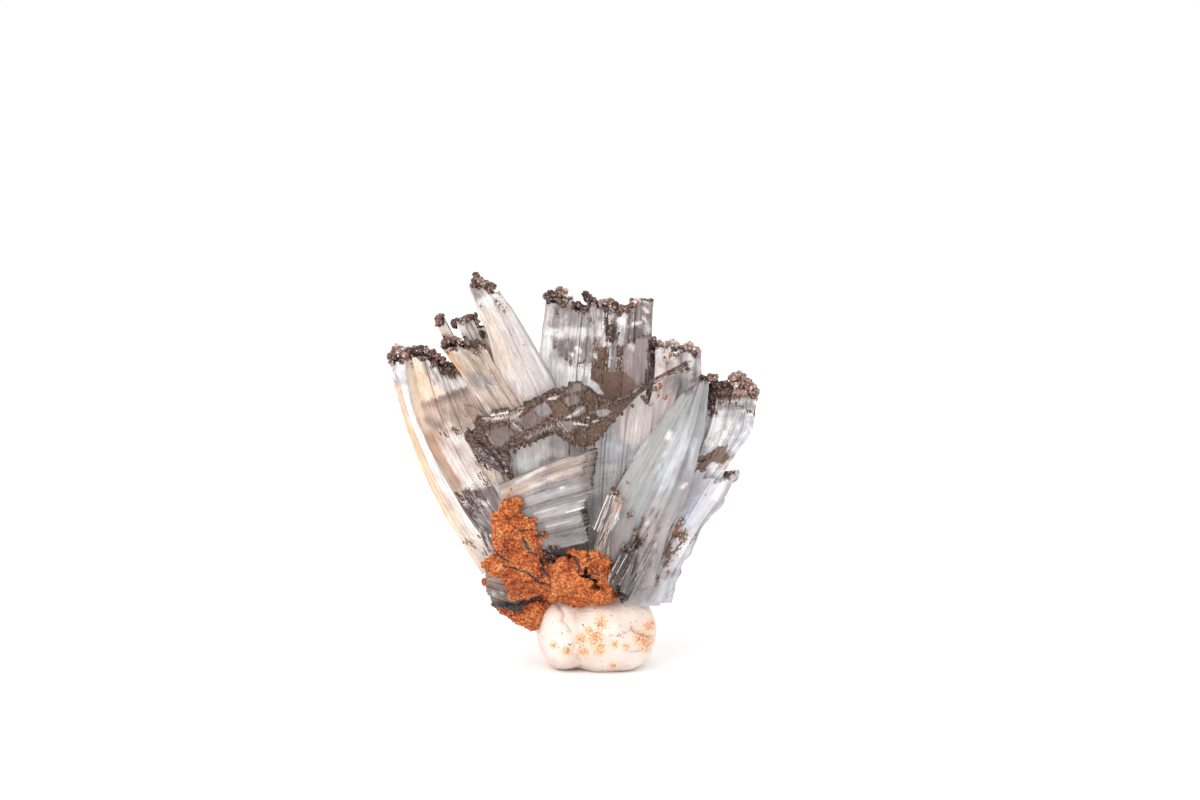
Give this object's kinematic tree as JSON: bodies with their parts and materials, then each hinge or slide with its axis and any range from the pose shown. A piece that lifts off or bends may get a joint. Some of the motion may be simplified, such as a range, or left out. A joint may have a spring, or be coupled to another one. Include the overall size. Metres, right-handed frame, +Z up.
{
  "type": "barite crystal cluster",
  "caption": "Fan-shaped spray of clear to grey bladed barite crystals with dark crusted tips, grown from a rusty iron oxide crust and standing on a pressed lump of white mineral putty.",
  "frame": {"origin": "centre of the putty's flat underside, on the surface it stands on", "axes": "+Z up, along the spray's growth and its longest extent; -Y out of the broad face that carries the putty's fold and the oxide crust; +X to the right when that face is seen from the front; Y is the thin direction"},
  "size_m": [0.0559, 0.02, 0.0595],
  "materials": {
    "clear_barite": "clear to milky crystal with fine lengthwise striae, orange and brown stains inside and dark oxide grains on the tips",
    "grey_barite": "satin blue-grey cleavage faces with fine parallel lines",
    "stained_barite": "short clear prisms mostly coated in matte brown oxide",
    "iron_oxide": "matte, granular rust orange to dark brown crust",
    "white_putty": "soft matte putty with fingerprint ridges and rusty smears"
  },
  "bodies": {
    "root": {"left_blade": "clear_barite", "left_sheaf": "clear_barite", "step_prisms": "clear_barite", "tall_prism": "clear_barite", "top_block": "clear_barite", "upper_right_block": "clear_barite", "right_block": "clear_barite", "small_prisms": "clear_barite", "front_blade": "grey_barite", "front_fan": "grey_barite", "centre_sheaf": "grey_barite", "lower_right_sheaf": "grey_barite", "brown_band": "stained_barite", "dark_base_crystals": "stained_barite", "iron_oxide_crust": "iron_oxide", "putty": "white_putty"}
  },
  "joints": []
}
